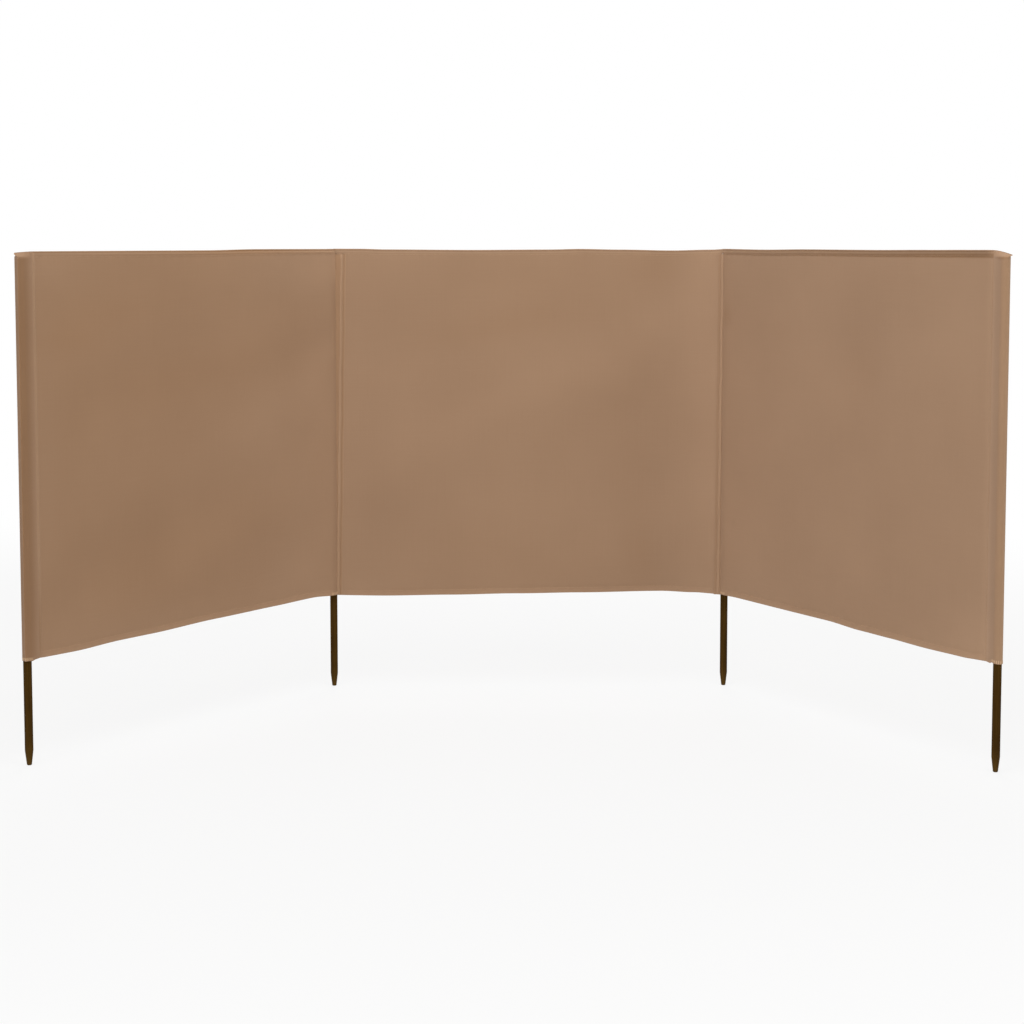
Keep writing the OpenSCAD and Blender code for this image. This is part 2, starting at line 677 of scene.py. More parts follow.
@dataclass(frozen=True)
class PoleFinish(Finish):
    """Dark-brown stain on turned wood: grain along the pole, rubbed at the tip."""

    dark: Triple = (0.026, 0.0115, 0.0012)
    light: Triple = (0.074, 0.036, 0.0050)
    wear_and_painted_light: Triple = (0.110, 0.060, 0.014)
    grain_waves: Triple = (170.0, 170.0, 4.0)
    grain_detail: float = 4.0
    pore_waves: Triple = (900.0, 900.0, 22.0)
    cloud_waves: Triple = (14.0, 14.0, 9.0)
    fine_detail: float = 2.0
    grain_share: float = 0.6
    pore_share: float = 0.25
    cloud_share: float = 0.25
    shade_ends: Pair = (0.35, 0.75)
    rub_height: float = 0.0675
    smooth: float = 0.46
    pore_roughness: float = 0.25
    specular: float = 0.04
    bump_strength: float = 0.25
    bump_reach: float = 0.0004

    def principled(self, desk: NodeDesk) -> dict[str, object]:
        """Stains the wood on Object coordinates.

        Args:
            desk: Where the nodes go.

        Returns:
            What goes into the Principled shader.
        """
        place = desk.add("TexCoord").outputs["Object"]
        height = desk.add("SeparateXYZ", {"Vector": place}).outputs["Z"]
        grain = desk.noise(place, self.grain_waves, self.grain_detail)
        pores = desk.noise(place, self.pore_waves, self.fine_detail)
        clouds = desk.noise(place, self.cloud_waves, self.fine_detail)
        shade = desk.math("MULTIPLY", clouds, self.cloud_share)
        shade = desk.math("MULTIPLY_ADD", pores, self.pore_share, shade)
        shade = desk.math("MULTIPLY_ADD", grain, self.grain_share, shade)
        stain = desk.ramp(shade, self.shade_ends, self.dark, self.light)
        low = desk.math("SUBTRACT", 1.0, desk.math("DIVIDE", height, self.rub_height))
        rub = desk.math("MULTIPLY", desk.math("MAXIMUM", low, 0.0), grain)
        feeds = {"Factor": desk.math("MINIMUM", rub, 1.0), "A": stain, "B": (*self.wear_and_painted_light, 1.0)}
        relief = desk.math("ADD", grain, pores)
        return {
            "Base Color": desk.add("Mix", feeds, data_type="RGBA").outputs["Result"],
            "Roughness": desk.math("MULTIPLY_ADD", pores, self.pore_roughness, self.smooth),
            "Specular IOR Level": self.specular,
            "Normal": desk.bump(relief, self.bump_strength, self.bump_reach),
        }


class Finishes:
    """Every material of the object, made once."""

    def __init__(self) -> None:
        """Builds the finishes; the middle bay's cloth is a darker copy of the cloth, painted shade."""
        cloth = ClothFinish("taupe_cloth", (0.300, 0.181, 0.107), (0.384, 0.240, 0.147))
        middle = ClothFinish("taupe_cloth_middle_painted_shade", (0.2755, 0.1675, 0.1007), (0.3525, 0.2220, 0.1383))
        hem = ClothFinish("taupe_hem", (0.315, 0.192, 0.115), (0.404, 0.254, 0.157))
        self.cloth = cloth.build()
        self.shaded_middle_cloth = middle.build()
        self.hem = hem.build()
        self.thread = ThreadFinish("tan_thread", (0.47, 0.31, 0.19)).build()
        self.pale_thread = ThreadFinish("pale_tan_thread", (0.60, 0.40, 0.24)).build()
        self.quiet_thread = ThreadFinish("taupe_thread", (0.28, 0.172, 0.104)).build()
        self.pole = PoleFinish("brown_stained_wood").build()


@dataclass(frozen=True)
class Needle:
    """One stitch, and the rows that are sewn with it."""

    length: float = 0.0031
    pitch: float = 0.0042
    thick: float = 0.00065
    wide: float = 0.00065
    lift_share: float = 0.35
    arch_share: float = 2.2
    step: float = 0.0005

    def row(self, name: str, span: Pair, path: OnLine, out: OnLine) -> Piece:
        """Sews a row of stitches along a line on the cloth.

        Args:
            name: The row's name.
            span: Where on the line the row starts and ends.
            path: Gives a place for each distance on the line.
            out: Gives the cloth's outward direction for each distance.

        Returns:
            The row as one piece.
        """
        deselect_all()
        bpy.ops.mesh.primitive_uv_sphere_add(
            segments=6, ring_count=4, radius=0.5, rotation=(0.0, math.pi / 2.0, 0.0)
        )
        piece = take_active(name)
        bpy.ops.object.mode_set(mode="EDIT")
        bpy.ops.mesh.select_all(action="SELECT")
        bpy.ops.transform.resize(value=(self.length, self.wide, self.thick))
        bpy.ops.object.mode_set(mode="OBJECT")
        apply_modifier(
            piece,
            "ARRAY",
            count=max(1, int((span[1] - span[0]) / self.pitch)),
            use_relative_offset=False,
            use_constant_offset=True,
            constant_offset_displace=(self.pitch, 0.0, 0.0),
        )
        along, across, height = points_of(piece).T
        distance = span[0] + along + self.pitch / 2.0
        ahead = path(distance + self.step) - path(distance - self.step)
        ahead /= np.linalg.norm(ahead, axis=1)[:, None]
        up = out(distance)
        arch = along / self.pitch - np.round(along / self.pitch)
        rise = height + self.thick * (self.lift_share - self.arch_share * arch * arch)
        move_points(
            piece, path(distance) + np.cross(ahead, up) * across[:, None] + up * rise[:, None]
        )
        shade_round(piece)
        return piece


@dataclass(frozen=True)
class PlanLine:
    """A line on plan that a cloth follows, closely sampled."""

    points: Array
    run: Array

    @classmethod
    def through(cls, points: Array, zero: int) -> "PlanLine":
        """Measures a line through points.

        Args:
            points: Places on plan, in order.
            zero: Which of them has distance 0.

        Returns:
            The line.
        """
        steps = np.linalg.norm(np.diff(points, axis=0), axis=1)
        run = np.concatenate([[0.0], np.cumsum(steps)])
        return cls(points, run - run[zero])

    def at(self, run: Array) -> tuple[Array, ...]:
        """The place on plan at each distance."""
        return tuple(np.interp(run, self.run, axis) for axis in self.points.T)


def upright(run: float) -> RowLine:
    """A row that climbs straight up a sheet."""
    return lambda z: (np.full_like(z, run), z)


class SewnCloth:
    """What every piece of cloth shares: the way that it is laid and gets its thickness."""

    screen: Screen

    def lay(
        self,
        piece: Piece,
        points: Array,
        flat: tuple[Array, Array],
        tone: Array | None = None,
        closed: bool = False,
        sharp: float = 50.0,
    ) -> Piece:
        """Lays a flat grid on its shape and gives it the cloth's thickness.

        Args:
            piece: The grid.
            points: A place for each of its points.
            flat: Where each point is in the flat cut, across and up.
            tone: The tone of each point, if it differs.
            closed: Whether its two sides meet, as on a tube.
            sharp: The angle past which an edge stays sharp, in degrees.

        Returns:
            The finished piece.
        """
        move_points(piece, points)
        set_flat_map(piece, np.stack(flat, axis=1))
        if tone is not None:
            set_tone(piece, tone)
        if closed:
            merge_close_points(piece)
        apply_modifier(piece, "SOLIDIFY", thickness=self.screen.cloth, offset=0.0)
        shade_round(piece, sharp)
        return piece


@dataclass(kw_only=True)
class BayCloth(SewnCloth):
    """What the three bays share: a sheet, two hems on its back and their stitches."""

    screen: Screen
    relief: Relief
    top_lift: Curve
    bottom_lift: Curve
    # Soft patches of painted light and shade on the bay.
    painted_patches: tuple[Dent, ...]
    hem_lean: float
    # A painted highlight line just above the bottom edge.
    foot_painted_highlight: Streak
    pucker: Gather
    columns: int
    row_shares: tuple[float, ...]
    flat_start: float
    rows: int = 118
    row_levels: tuple[float, ...] = (0.0, 0.0015, 0.02, 0.035, 0.96, 0.982, 0.9985, 1.0)
    trim: float = 0.0012
    kick_lean: float = 0.0028
    stitch_share: float = 0.84
    pucker_reach: float = 0.011
    pucker_height: float = 0.00055
    pucker_sink: float = 0.0006
    # A painted highlight line and a painted shade line just under the top edge.
    hem_painted_highlight: Streak = Streak(0.18, -0.0088, 0.0024)
    hem_painted_shade: Streak = Streak(-0.13, -0.0044, 0.0022)
    hem_columns: int = 220
    hem_cut: float = 3.0
    hem_roll: Curve = (
        (0.0, 0.0016), (0.0001, 0.0007), (0.0006, 0.0001),
        (0.0013, 0.0001), (0.0018, 0.0007), (0.0020, 0.0018),
    )
    flap_shares: Curve = (
        (0.0019, 0.3), (0.0017, 0.6), (0.0019, 0.86), (0.0019, 0.97), (0.0014, 1.0), (0.0007, 0.98),
    )
    flap_pucker: float = 0.00035
    flap_gather: Gather = Gather(0.031, 2.0, 37.0)
    row_margin: float = 0.004
    front_off: float = 0.00035
    back_off: float = -0.0023
    slope_step: float = 0.002
    name: str = field(init=False)
    frame: BayFrame = field(init=False)
    lift_end: float = field(init=False)
    hem_span: Pair = field(init=False)
    trim_span: Pair = field(init=False)
    knots: tuple[tuple[float, ...], tuple[float, ...]] = field(init=False)

    def surface(self, run: Array, z: Array) -> Array:
        """Places on the middle of the sheet."""
        raise NotImplementedError

    def tone(self, run: Array, z: Array) -> Array:
        """The cloth's painted light and shade, as a tone, at each place."""
        raise NotImplementedError

    def edge(self, which: Edge, run: Array) -> Array:
        """Height of a long edge at each distance along the sheet.

        Args:
            which: The top or the bottom edge.
            run: Distance along the sheet.

        Returns:
            The height of the edge.
        """
        share = np.clip(run / self.lift_end, 0.0, 1.0)
        if which is Edge.TOP:
            return self.screen.high + soft_curve(self.top_lift, share)
        return self.screen.low + soft_curve(self.bottom_lift, share)

    def painted_patch_tone(self, run: Array, z: Array) -> Array:
        """The painted light and shade of the bay's own soft patches."""
        return sum(mark.depth(run, z) for mark in self.painted_patches)

    def edge_tone(self, below: Array, above: Array) -> Array:
        """The painted highlights and shade along the top edge and the bottom one, by height over each.
        """
        return self.hem_painted_highlight.at(below) + self.hem_painted_shade.at(below) + self.foot_painted_highlight.at(above)

    def hem_shape(self, run: Array, z: Array) -> Array:
        """How the hems shape the sheet: they lean to the front, and it puckers at their stitches.

        Args:
            run: Distance along the sheet.
            z: Height.

        Returns:
            Distance to the back.
        """
        deep = self.screen.hem
        inset = self.stitch_share * deep
        top, low = self.edge(Edge.TOP, run), self.edge(Edge.BOTTOM, run)
        lean = self.hem_lean * np.clip((z - top + deep) / deep, 0.0, 1.0)
        kick = self.kick_lean * np.clip((low + deep - z) / deep, 0.0, 1.0)
        near = bell(z - top + inset, self.pucker_reach) + bell(z - low - inset, self.pucker_reach)
        return (self.pucker_height * self.pucker.at(run) + self.pucker_sink) * near - lean - kick

    def front_of(self, run: Array, z: Array) -> Array:
        """The sheet's outer side: the front of a panel, and away from the pole on a pocket.

        Args:
            run: Distance along the sheet.
            z: Height.

        Returns:
            Unit directions, one row each.
        """
        step = self.slope_step
        along = self.surface(run + step, z) - self.surface(run - step, z)
        up = self.surface(run, z + step) - self.surface(run, z - step)
        out = np.cross(up, along)
        out /= np.linalg.norm(out, axis=1)[:, None]
        (ax, ay), (bx, by) = self.frame.along, self.frame.back
        return out * np.sign(ay * bx - ax * by)

    def build_sheet(self) -> Piece:
        """Lays the bay's cloth, with more faces where it is held.

        Returns:
            The cloth.
        """
        piece = flat_grid(f"{self.name}_cloth", self.columns, self.rows)
        across, up, _ = points_of(piece).T
        run = np.interp(across, *self.knots)
        trim = self.trim * ((run > self.trim_span[0]) & (run < self.trim_span[1]))
        top = self.edge(Edge.TOP, run) - trim
        low = self.edge(Edge.BOTTOM, run) + trim
        z = between((low, top), np.interp(up, self.row_shares, self.row_levels))
        flat = (run + self.flat_start, z)
        return self.lay(piece, self.surface(run, z), flat, self.tone(run, z))

    def build_hem(self, which: Edge) -> Piece:
        """Folds the cloth's edge to the back: a rolled edge, a flap and its turned-in lip.

        Args:
            which: The top or the bottom edge.

        Returns:
            The hem.
        """
        hem = self.screen.hem
        section = np.array([*self.hem_roll, *((off, share * hem) for off, share in self.flap_shares)])
        last = len(section) - 1
        piece = flat_grid(f"{self.name}_{which.value}_fold", self.hem_columns, last)
        across, up, _ = points_of(piece).T
        run = between(self.hem_span, across)
        off, deep = section[np.round(up * last).astype(int)].T
        flap = ease(self.flap_shares[0][1] * hem, hem, deep)
        off = off + self.flap_pucker * self.flap_gather.at(run) * flap
        z = self.edge(which, run) + deep * which.inward
        points = self.surface(run, z) - self.front_of(run, z) * off[:, None]
        return self.lay(piece, points, (run, deep + self.hem_cut))

    def beside_edge(self, which: Edge, inset: float) -> RowLine:
        """A row that follows a long edge."""
        return lambda run: (run, self.edge(which, run) + inset * which.inward)

    def sew_row(self, needle: Needle, span: Pair, line: RowLine, off: float) -> Piece:
        """Sews a row of stitches on the sheet.

        Args:
            needle: The stitch.
            span: Where on the line the row starts and ends.
            line: Gives run and height for each distance on the line.
            off: How far the row stands off the sheet, negative on its back.

        Returns:
            The row.
        """

        def path(distance: Array) -> Array:
            """Places on the row."""
            where = line(distance)
            return self.surface(*where) + self.front_of(*where) * off

        def out(distance: Array) -> Array:
            """The row's outward direction."""
            return self.front_of(*line(distance)) * np.sign(off)

        return needle.row(f"{self.name}_row", span, path, out)

    def sew_hem(self, which: Edge, needle: Needle) -> Piece:
        """Sews a hem: a row on the cloth's front and the same row on the hem's back.

        Args:
            which: The top or the bottom hem.
            needle: The stitch.

        Returns:
            Both rows as one piece.
        """
        span = (self.hem_span[0] + self.row_margin, self.hem_span[1] - self.row_margin)
        line = self.beside_edge(which, self.stitch_share * self.screen.hem)
        rows = [self.sew_row(needle, span, line, off) for off in (self.front_off, self.back_off)]
        return join_pieces(f"{self.name}_{which.value}_stitches", rows)


@dataclass(frozen=True, kw_only=True)
class WingPaintedLight:
    """The painted light and shade of an outer bay's cloth, and the bands over which they come in."""

    # Painted light over the whole bay, painted shade where negative.
    base: float
    # Painted shade on the top hem's band, painted light where positive, from the inner pole to the end
    # seam.
    hem: Pair
    # Painted shade on the rows just under the top edge, a painted highlight where positive.
    fold: Pair
    # Painted shade beside the inner pole, lessened towards the top by corner_fade and ending at
    # corner_end.
    corner: float
    corner_fade: float
    corner_end: float
    # Painted shade on the end pocket's front.
    pocket: float
    # Painted shade on the end pocket's rim, a painted highlight where positive.
    rim: float
    rim_start: float
    # A painted highlight on the end seam's welt.
    welt: float
    welt_wide: float
    welt_fade: float
    # Paler at the bottom mouths of the inner corner and the end pocket.
    mouth: float = 0.13
    hem_band: Pair = (-0.0215, -0.0185)
    hem_tilt: float = 0.003
    hem_narrowing: float = 0.19
    fold_band: Pair = (-0.0155, -0.0110)
    fold_change: Pair = (0.25, 0.75)
    corner_start: float = -0.012
    corner_band: Pair = (-0.16, -0.05)
    pocket_start: float = 0.002
    pocket_full: float = 0.6
    pocket_end: float = 0.3
    pocket_top: Pair = (-0.022, -0.008)
    rim_rise: float = 0.010
    rim_drop: Pair = (0.030, 0.050)
    mouth_height: Pair = (0.008, 0.013)
    mouth_inner: Pair = (-0.01, 0.022)
    mouth_outer: Pair = (0.25, 0.5)
    welt_place: float = -0.001
    welt_band: Pair = (0.06, 0.28)


@dataclass(kw_only=True)
class WingCloth(BayCloth):
    """An outer bay: one cloth from the inner pole, round the end pole and back."""

    side: Side
    hem_start: float
    wrap_angle: float
    corner_swell: float
    fold_reach: float
    top_reach: float
    top_lean: float
    top_swell: float
    top_gather: float
    corner_drop: float
    mouth_drop: float
    mouth_lean: float
    # The cloth's painted light and shade.
    painted_light: WingPaintedLight
    # A painted highlight line just above the bottom edge.
    foot_painted_highlight: Streak = Streak(0.045, 0.004, 0.005)
    pucker: Gather = Gather(0.034, 2.1, 23.0)
    columns: int = 264
    column_shares: tuple[float, ...] = (0.0, 0.02, 0.09, 0.68, 0.74, 0.985, 1.0)
    row_shares: tuple[float, ...] = (0.0, 0.015, 0.09, 0.13, 0.80, 0.87, 0.985, 1.0)
    flat_start: float = 0.0
    stitch_line: float = 1.307
    allowance: float = 0.012
    slack: float = 0.0006
    corner_fade: float = 0.020
    lip_gap: float = 0.0010
    fold_radius: float = 0.0016
    fold_front: float = -0.0165
    fold_bend: Pair = (-1.75, 1.15)
    leave_pole: float = 1.5 * math.pi - 0.12
    meet_pole: float = 2.28 * math.pi
    drop_power: float = 1.5
    shut_start: float = 0.002
    shut_margin: float = 0.001
    shut_power: float = 1.3
    layer_gap: float = 0.0006
    layer_turn: float = 0.004
    free_start: float = 0.03
    free_end: float = 0.02
    seam_gather: Gather = Gather(0.041, 1.7, 19.0)
    seam_pucker: float = 0.0005
    seam_reach: float = 0.014
    welt_place: float = 0.0035
    welt_height: float = 0.0013
    hem_gap: float = 0.003
    fine_start: float = 0.06
    fine_end: float = 0.03
    fine_step: float = 0.002
    mouth_band: Pair = (0.34, 0.56)
    lean_band: Pair = (0.45, 1.0)
    seam_margins: Pair = (0.012, 0.024)
    seam_insets: Pair = (0.0025, 0.004)
    corner_row: Pair = (0.001, 0.034)
    pocket_row: Pair = (0.52, 0.5)
    mouth_inset: float = 0.0058
    mouth_off: float = 0.0003
    mouth_needle: Needle = Needle(length=0.0026, pitch=0.0060, thick=0.0009, wide=0.0105)

    def __post_init__(self) -> None:
        """Works out the line that the cloth follows on plan, and where its parts are on it."""
        self.name = self.side.value
        self.frame = BayFrame.of_wing(self.side, self.screen)
        self.hold = self.screen.pocket_radius + self.slack
        self.line, self.stitch_run = self.follow_plan()
        first, last = self.line.run[0], self.line.run[-1]
        seam = self.stitch_run
        self.turn_back = last - self.allowance
        self.outermost = float(self.line.run[int(np.argmax(self.line.points[:, 0]))])
        self.half = self.outermost - seam
        self.lift_end = seam
        self.hem_span = (self.hem_start, seam - self.hem_gap)
        self.trim_span = (self.hem_start, seam)
        panel = (0.0, self.fine_start, seam - self.fine_end, seam + self.fine_step)
        self.knots = (self.column_shares, (first, *panel, self.turn_back, last))

    def follow_plan(self) -> tuple[PlanLine, float]:
        """Draws the cloth's line on plan, from the inner pocket to the end seam's lip.

        Returns:
            The line, with distance 0 where the cloth leaves the inner pocket, and the
            distance of the end pocket's stitches.
        """
        leave = 90.0 + math.degrees(math.atan(self.corner_swell / self.corner_fade))
        wrap = np.radians(np.linspace(self.wrap_angle, leave, 16))
        start = arc_points(0.0, self.hold, -wrap)
        first_x, first_y = start[-1]
        panel_x = np.linspace(first_x, self.stitch_line, 900)[1:]
        gone = panel_x - first_x
        proud = self.corner_swell * (1.0 - np.exp(-gone / self.corner_fade)) - first_y
        panel_y = -proud * (1.0 - gone / (self.stitch_line - first_x))
        panel = np.stack([panel_x, panel_y], axis=1)
        loop = self.pocket_loop()
        seam = (self.stitch_line, self.lip_gap)
        lip_end = (self.stitch_line - self.allowance, self.lip_gap)
        front = np.linspace(panel[-1], loop[0], 30)[1:-1]
        back = np.linspace(loop[-1], seam, 30)[1:]
        lip = np.linspace(seam, lip_end, 12)[1:]
        points = np.concatenate([start, panel, front, loop, back, lip])
        line = PlanLine.through(points, len(start) - 1)
        return line, float(line.run[len(start) + len(panel) - 1])

    def pocket_loop(self) -> Array:
        """Draws the end pocket on plan, round its pole and out to its loose fold.

        Returns:
            Places from the front tangent to the back one.
        """
        radius, bay = self.hold, self.screen.bay
        touch = math.acos(radius / (bay - self.stitch_line))
        front_touch, back_touch = math.pi + touch, 3.0 * math.pi - touch
        if self.fold_reach <= radius:
            return arc_points(bay, radius, np.linspace(front_touch, back_touch, 90))
        front = arc_points(bay, radius, np.linspace(front_touch, self.leave_pole, 12))
        back = arc_points(bay, radius, np.linspace(self.meet_pole, back_touch, 30))
        fold_x = bay + self.fold_reach - self.fold_radius
        fold = arc_points(fold_x, self.fold_radius, np.linspace(*self.fold_bend, 14))
        fold[:, 1] += self.fold_front
        out = np.linspace(front[-1], fold[0], 20)[1:-1]
        home = np.linspace(fold[-1], back[0], 20)[1:-1]
        return np.concatenate([front, out, fold, home, back])

    def way_out(self, run: Array) -> Array:
        """How far out on the end pocket each place is: 0 at its seam, 1 at its widest."""
        back = (self.turn_back - run) / (self.turn_back - self.outermost)
        return np.minimum((run - self.stitch_run) / self.half, back)

    def edge(self, which: Edge, run: Array) -> Array:
        """Height of a long edge, which drops or rises round the end pocket.

        Args:
            which: The top or the bottom edge.
            run: Distance along the sheet.

        Returns:
            The height of the edge.
        """
        out = np.clip(self.way_out(run), 0.0, 1.0)
        if which is Edge.TOP:
            drop = self.corner_drop * out**self.drop_power
        else:
            drop = self.mouth_drop * ease(*self.mouth_band, out)
            drop = drop + self.mouth_lean * ease(*self.lean_band, out)
        return super().edge(which, run) - drop

    def close_pocket(
        self, run: Array, z: Array, x: Array, y: Array
    ) -> tuple[Array, Array]:
        """Shuts the end pocket over its pole: round below, flat where it is sewn at the top.

        Args:
            run: Distance along the sheet.
            z: Height.
            x: Where the open pocket is along the bay.
            y: Where it is to the back.

        Returns:
            Where the closed pocket is, along the bay and to the back.
        """
        base = self.screen.pole_top - self.shut_start
        top = self.edge(Edge.TOP, run) - self.shut_margin
        close = np.clip((z - base) / (top - base), 0.0, 1.0) ** self.shut_power
        share = self.way_out(run)
        reach = self.screen.bay - self.stitch_line + self.top_reach
        layer = self.layer_gap * np.tanh((run - self.outermost) / self.layer_turn)
        swell = 4.0 * close * (1.0 - close) * np.clip(share, 0.0, 1.0) ** 2
        closed_x = between((x, self.stitch_line + reach * share), close) + self.top_swell * swell
        return closed_x, between((y, self.top_lean * share + layer), close)

    def surface(self, run: Array, z: Array) -> Array:
        """Places on the middle of the sheet.

        Args:
            run: Distance along the sheet.
            z: Height.

        Returns:
            One row for each place.
        """
        seam = self.stitch_run
        x, y = self.line.at(run)
        pocket_x, pocket_y = self.close_pocket(run, z, x, y)
        free = plateau((0.0, self.free_start), (seam - self.free_end, seam), run)
        gathered = ease(self.screen.pole_top + self.shut_start, self.screen.high, z)
        pucker = self.seam_pucker * self.seam_gather.at(z) * bell(run - seam, self.seam_reach)
        welt = self.welt_height * bell(run - seam + self.welt_place, self.welt_place)
        panel_y = y * (1.0 - self.top_gather * gathered)
        panel_y = panel_y + self.relief.depth(x, z, 0.0, self.stitch_line)
        panel_y = panel_y + (self.hem_shape(run, z) + pucker) * free - welt
        panel = run < seam
        return self.frame.place(np.where(panel, x, pocket_x), np.where(panel, panel_y, pocket_y), z)

    def pocket_tone(self, run: Array, below: Array) -> Array:
        """The painted shade on the end pocket's front, and the painted light on the rim where it turns
        to the back: shade on the left bay, a highlight on the right.

        Args:
            run: Distance along the sheet.
            below: Height over the top edge, negative in the cloth.

        Returns:
            The tone at each place.
        """
        painted_light, seam, half = self.painted_light, self.stitch_run, self.half
        rise = (seam + painted_light.pocket_start, seam + painted_light.pocket_full * half)
        drop = (self.outermost, self.outermost + painted_light.pocket_end * half)
        front = painted_light.pocket * plateau(rise, drop, run)
        rim_rise = (painted_light.rim_start, painted_light.rim_start + painted_light.rim_rise)
        rim = painted_light.rim * plateau(rim_rise, painted_light.rim_drop, run - self.outermost)
        return (front + rim) * fall(*painted_light.pocket_top, below)

    def hem_tone(self, run: Array, below: Array, above: Array) -> Array:
        """The painted light and shade of the panel's hems, which change from the inner pole to the end
        seam.

        Args:
            run: Distance along the sheet.
            below: Height over the top edge, negative in the cloth.
            above: Height over the bottom edge.

        Returns:
            The tone at each place, 0 past the panel.
        """
        painted_light = self.painted_light
        share = np.clip(run / self.stitch_run, 0.0, 1.0)
        narrow = below / (1.0 - painted_light.hem_narrowing * share)
        band = ease(*painted_light.hem_band, below + painted_light.hem_tilt * share)
        band = band * between(painted_light.hem, ease(0.0, 1.0, share))
        fold = ease(*painted_light.fold_band, narrow)
        fold = fold * between(painted_light.fold, ease(*painted_light.fold_change, share))
        return (band + fold + self.edge_tone(narrow, above)) * (run < self.stitch_run)

    def tone(self, run: Array, z: Array) -> Array:
        """The cloth's painted light and shade: over the bay, beside the inner pole, on hems, folds and
        the end pocket, with painted highlights on welts and edges and paler mouths.

        Args:
            run: Distance along the sheet.
            z: Height.

        Returns:
            The tone at each place.
        """
        painted_light, seam = self.painted_light, self.stitch_run
        below, above = z - self.edge(Edge.TOP, run), z - self.edge(Edge.BOTTOM, run)
        # Painted shade beside the inner pole, lessened towards the top.
        corner = painted_light.corner - painted_light.corner_fade * ease(*painted_light.corner_band, below)
        corner = corner * fall(painted_light.corner_start, painted_light.corner_end, run)
        # Paler at the bottom mouths.
        outer = ease(*painted_light.mouth_outer, (run - seam) / self.half)
        mouth = np.maximum(fall(*painted_light.mouth_inner, run), outer)
        mouth = painted_light.mouth * fall(*painted_light.mouth_height, above) * mouth
        # A painted highlight on the end seam's welt.
        welt = painted_light.welt * (1.0 - painted_light.welt_fade * fall(*painted_light.welt_band, above))
        welt = welt * bell(run - seam - painted_light.welt_place, painted_light.welt_wide)
        plain = painted_light.base + self.painted_patch_tone(run, z)
        hems = self.hem_tone(run, below, above)
        return plain - corner + hems + self.pocket_tone(run, below) + mouth + welt

    def sew_end_seam(self, needle: Needle) -> Piece:
        """Sews the end pocket's long seam, on the front and on the back.

        Args:
            needle: The stitch.

        Returns:
            Both rows as one piece.
        """
        low, high = self.seam_margins
        front, back = self.seam_insets
        span = (self.screen.low + low, self.screen.high - high)
        runs = (self.stitch_run - front, self.turn_back + back)
        rows = [self.sew_row(needle, span, upright(run), self.front_off) for run in runs]
        return join_pieces(f"{self.name}_end_stitches", rows)

    def sew_mouths(self) -> Piece:
        """Whips the mouths of the inner corner and of the end pocket with upright stitches.

        Returns:
            Both rows as one piece.
        """
        line = self.beside_edge(Edge.BOTTOM, self.mouth_inset)
        start, end = (share * self.half for share in self.pocket_row)
        corner = (self.line.run[0] + self.corner_row[0], self.corner_row[1])
        pocket = (self.stitch_run + start, self.turn_back - end)
        rows = [self.sew_row(self.mouth_needle, span, line, self.mouth_off) for span in (corner, pocket)]
        return join_pieces(f"{self.name}_mouth_stitches", rows)


@dataclass(kw_only=True)
class CentreCloth(BayCloth):
    """The middle bay's sheet, held between the two inner pockets."""

    # A painted highlight line just above the bottom edge.
    foot_painted_highlight: Streak = Streak(0.03, 0.004, 0.005)
    pucker: Gather = Gather(0.036, 2.0, 21.0)
    columns: int = 220
    column_shares: tuple[float, ...] = (0.0, 0.07, 0.93, 1.0)
    row_shares: tuple[float, ...] = (0.0, 0.015, 0.09, 0.13, 0.84, 0.91, 0.985, 1.0)
    flat_start: float = 2.0
    slack: float = 0.0002
    hem_margin: float = 0.001
    fine_reach: float = 0.06
    free_reach: float = 0.05
    middle: float = 0.0006
    right_step: float = 0.0014
    right_bands: Pair = (0.08, 0.01)
    pull_reach: float = 0.03
    left_pull: float = 0.007
    right_pull: float = 0.004

    def __post_init__(self) -> None:
        """Works out where the sheet starts and ends."""
        self.name = "centre"
        self.frame = BayFrame((0.0, 0.0), (1.0, 0.0), (0.0, 1.0))
        self.hold = self.screen.pocket_radius + self.slack
        self.end = self.screen.bay - self.hold
        self.lift_end = self.screen.bay
        self.hem_span = (self.hold + self.hem_margin, self.end - self.hem_margin)
        self.trim_span = (0.0, self.screen.bay)
        places = (self.hold, self.hold + self.fine_reach, self.end - self.fine_reach, self.end)
        self.knots = (self.column_shares, places)

    def surface(self, run: Array, z: Array) -> Array:
        """Places on the middle of the sheet.

        Args:
            run: Distance along the sheet, from the left inner pole's axis.
            z: Height.

        Returns:
            One row for each place.
        """
        start, end = self.hold, self.end
        free = plateau((start, start + self.free_reach), (end - self.free_reach, end), run)
        right_start, right_full = self.right_bands
        y = self.middle + self.right_step * ease(end - right_start, end - right_full, run)
        y = y + self.relief.depth(run, z, start, end) + self.hem_shape(run, z) * free
        left = self.left_pull * fall(start, start + self.pull_reach, run)
        right = self.right_pull * ease(end - self.pull_reach, end, run)
        pull = ease(self.screen.pole_top, self.screen.high, z) * (left - right)
        return self.frame.place(run - pull, y, z)

    def tone(self, run: Array, z: Array) -> Array:
        """The cloth's painted light and shade: lines along its hems and its soft painted patches."""
        below, above = z - self.edge(Edge.TOP, run), z - self.edge(Edge.BOTTOM, run)
        return self.edge_tone(below, above) + self.painted_patch_tone(run, z)


